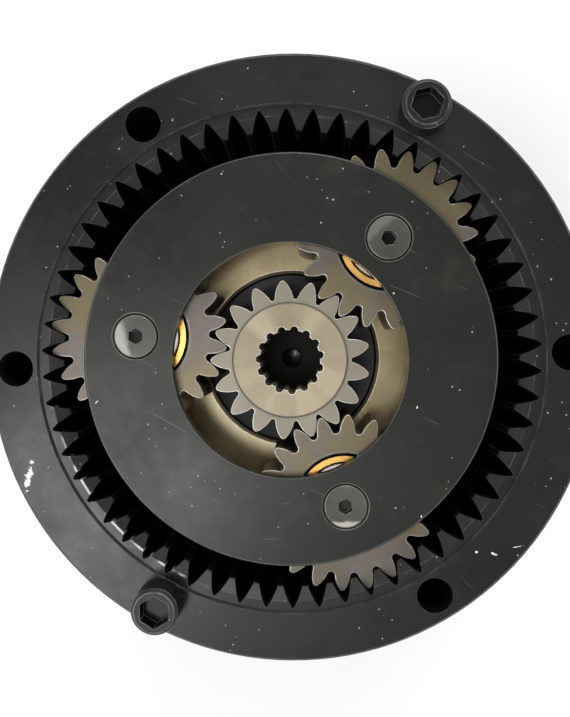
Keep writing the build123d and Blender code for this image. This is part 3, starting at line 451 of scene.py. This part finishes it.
# the countersunk screws' hex sockets are darkened as painted shade
CSK = gear_steel("screw_steel", (0.040, 0.042, 0.036), (0.074, 0.075, 0.064), (0.075, 0.066, 0.055), rough=0.33, metal=0.5, specks=0.3, hex_shade=[(0.01059, 0.05600, 0.0031, 0.2993, 0.95), (-0.05380, -0.01884, 0.0031, 0.2993, 0.6), (0.04320, -0.03718, 0.0031, 0.2993, 0.5)], rubbed=[(0.01059, 0.05600, 160, 0.0030, 0.0052, (0.14, 0.14, 0.125)), (-0.05380, -0.01884, 222, 0.0022, 0.0052, (0.30, 0.30, 0.26)), (0.04320, -0.03718, 300, 0.0050, 0.0064, (0.42, 0.41, 0.35))])
CSK_EDGE = gear_steel("screw_rim", (0.13, 0.13, 0.115), (0.22, 0.22, 0.195), (0.12, 0.12, 0.10), rough=0.3, metal=0.6)
# the cap screws' socket interiors are darkened as painted shade
CAP = black_oxide("cap_screw_black", base=(0.0058, 0.0060, 0.0056), rough=0.36, dust=0.5, turned=False, spec=0.26, socket_shade=[(0.0, 0.1005, 0.0062, 0.3117, (0.0026, 0.0026, 0.0024), 0.17, 0.26)])
OILED = black_oxide("oiled_gear", base=(0.0026, 0.0026, 0.0022), rough=0.55, dust=0.0, turned=False, spec=0.12)
CAP_EDGE = black_oxide("cap_screw_edge", base=(0.022, 0.022, 0.022), rough=0.26, dust=0.0, turned=False, edge=True)
PINION = black_oxide("pinion_steel", base=(0.040, 0.040, 0.040), rough=0.40, dust=0.3)
PINION_EDGE = gear_steel("pinion_edge", (0.20, 0.20, 0.19), (0.30, 0.30, 0.28), (0.2, 0.18, 0.14), edge=False)
COPPER = plain_metal("copper_washer", (0.72, 0.36, 0.20), 0.30)
SEAL = rubber("seal_rubber")

# node: (face, edge, bevel width in mm, segments)
LOOK = {
    "ring_gear": (RING, RING_EDGE, 0.30, 2),
    "lower_housing": (CASE, CASE, 0.8, 2),
    "ring_cap_screws": (CAP, CAP_EDGE, 0.25, 2),
    "dowel_pins": (BRIGHT, BRIGHT, 0, 0),
    "drain_plug": (CSK, CSK_EDGE, 0.2, 2),
    "level_plug": (CSK, CSK_EDGE, 0.2, 2),
    "plug_washers": (COPPER, COPPER, 0.15, 1),
    "shaft_seal": (SEAL, SEAL, 0, 0),
    "output_shaft": (PINION, PINION_EDGE, 0.5, 2),
    "carrier_cover": (COVER, COVER_EDGE, 0.15, 2),
    "carrier_cover_screws": (CSK, CSK_EDGE, 0.18, 2),
    "first_carrier": (GOLD, GOLD_EDGE, 0.2, 2),
    "sun_thrust_plate": (PAD, PAD, 0.2, 2),
    "input_sun": (SUN, SUN_EDGE, 0.35, 2),
    "first_planet_pins": (PIN, PIN, 0.15, 2),
    "second_sun": (OILED, OILED, 0.25, 1),
    "second_carrier": (CSK, CSK_EDGE, 0.4, 1),
}
for k in (1, 2, 3):
    LOOK["first_planet_%d" % k] = (PLANET, PLANET_EDGE, 0.32, 2)
for nm, ob in NODES.items():
    if nm in LOOK:
        continue
    if "needle_cage" in nm or "thrust" in nm:
        LOOK[nm] = (BRONZE, BRONZE, 0.12, 1)
    elif nm.startswith("second_planet_") and nm[-1].isdigit():
        LOOK[nm] = (PLANET, PLANET_EDGE, 0.25, 1)
    else:
        LOOK[nm] = (BRIGHT, BRIGHT, 0, 0)


def dress(nm):
    """Joins the split corners, merges the flat triangles, rounds the sharp corners."""
    face, edge, width, segs = LOOK[nm]
    ob = NODES[nm]
    ob.data.materials.clear()
    ob.data.materials.append(face)
    ob.data.materials.append(edge)
    for p in ob.data.polygons:
        p.material_index = 0
    w = ob.modifiers.new("join", "WELD")
    w.merge_threshold = 0.000005
    if width:
        d = ob.modifiers.new("flat", "DECIMATE")
        d.decimate_type = "DISSOLVE"
        d.angle_limit = math.radians(0.6)
        b = ob.modifiers.new("round", "BEVEL")
        b.limit_method = "ANGLE"
        b.angle_limit = math.radians(28)
        b.width = width / 1000
        b.segments = segs
        b.profile = 0.6
        b.material = 1
        b.use_clamp_overlap = True
        b.miter_outer = "MITER_ARC"
    for p in ob.data.polygons:
        p.use_smooth = True
    if width:
        wn = ob.modifiers.new("even", "WEIGHTED_NORMAL")
        wn.mode = "FACE_AREA"
        wn.weight = 100
        wn.keep_sharp = False


for nm in NODES:
    dress(nm)

# ============================================================== floor, lights, camera


def stage_floor():
    me = bpy.data.meshes.new("floor")
    bm = bmesh.new()
    bmesh.ops.create_grid(bm, x_segments=4, y_segments=4, size=3.0)
    bm.to_mesh(me)
    bm.free()
    ob = bpy.data.objects.new("floor", me)
    sc.collection.objects.link(ob)
    n = Nt("floor_paper")
    f = n.noise(3.0, 3.0, 0.5)
    n.put(n.b.inputs["Base Color"], n.mix(f, (0.93, 0.93, 0.93), (0.96, 0.96, 0.96)))
    n.put(n.b.inputs["Roughness"], n.fmix(n.noise(40.0), 0.7, 0.9))
    n.b.inputs["Specular IOR Level"].default_value = 0.1
    me.materials.append(n.mat)
    return ob


stage_floor()


def area(name, az, el, dist, size, power, look=(0, 0, 0.28), color=(1, 1, 1), shape="DISK", size_y=None):
    """A soft light at an azimuth counter-clockwise from +X and an elevation."""
    la = bpy.data.lights.new(name, "AREA")
    la.shape = shape
    la.size = size
    if size_y:
        la.size_y = size_y
    la.energy = power
    la.color = color
    ob = bpy.data.objects.new(name, la)
    sc.collection.objects.link(ob)
    t = Vector(look)
    p = t + Vector((math.cos(deg(az)) * math.cos(deg(el)), math.sin(deg(az)) * math.cos(deg(el)), math.sin(deg(el)))) * dist
    ob.location = p
    ob.rotation_euler = (t - p).to_track_quat("-Z", "Y").to_euler()
    return ob


area("key", 246, 66, 1.6, 0.62, 8.3)
area("near", 252, 82, 1.6, 0.28, 1.6)
area("far_soft", 112, 40, 1.9, 0.9, 9)

wd = bpy.data.worlds.new("studio")
sc.world = wd
wd.use_nodes = True
wt = wd.node_tree
bg = wt.nodes["Background"]
bg.inputs[0].default_value = (1.0, 1.0, 1.0, 1)
# a bright band all round and a darker ceiling, as under a ring of diffusers
wc = wt.nodes.new("ShaderNodeTexCoord")
wz = wt.nodes.new("ShaderNodeSeparateXYZ")
wr = wt.nodes.new("ShaderNodeValToRGB")
wt.links.new(wc.outputs["Generated"], wz.inputs[0])
wt.links.new(wz.outputs[2], wr.inputs[0])
wt.links.new(wr.outputs[0], bg.inputs[1])
for el, (p, v) in zip([wr.color_ramp.elements[0], wr.color_ramp.elements[1]] + [wr.color_ramp.elements.new(0.5) for _ in range(1)], [(0.0, 1.40), (1.0, 0.02), (0.52, 1.40)]):
    el.position = p
    el.color = (v, v, v, 1)
wr.color_ramp.elements.new(0.80).color = (0.05, 0.05, 0.05, 1)

# the camera looks almost straight down the axis from 280 mm above the ring gear
cam_d = bpy.data.cameras.new("camera")
cam_d.sensor_fit = "AUTO"
cam_d.sensor_width = 36.0
cam_d.lens = 772.5 / 717.0 * 36.0
cam_d.clip_start = 0.01
cam_d.clip_end = 20
cam_d.dof.use_dof = False
cam = bpy.data.objects.new("camera", cam_d)
sc.collection.objects.link(cam)
rv = Vector((deg(1.65), deg(-1.99), deg(6.25)))
R = Matrix.Rotation(rv.length, 3, rv.normalized())
RAW = Matrix.Rotation(deg(34.502), 3, "Z")
eye = RAW @ (-(R.transposed() @ Vector((1.61, -0.81, -279.85)))) / 1000
cam.matrix_world = Matrix.Translation(eye + Vector((0, 0, TOP))) @ (RAW @ R.transposed()).to_4x4()
sc.camera = cam
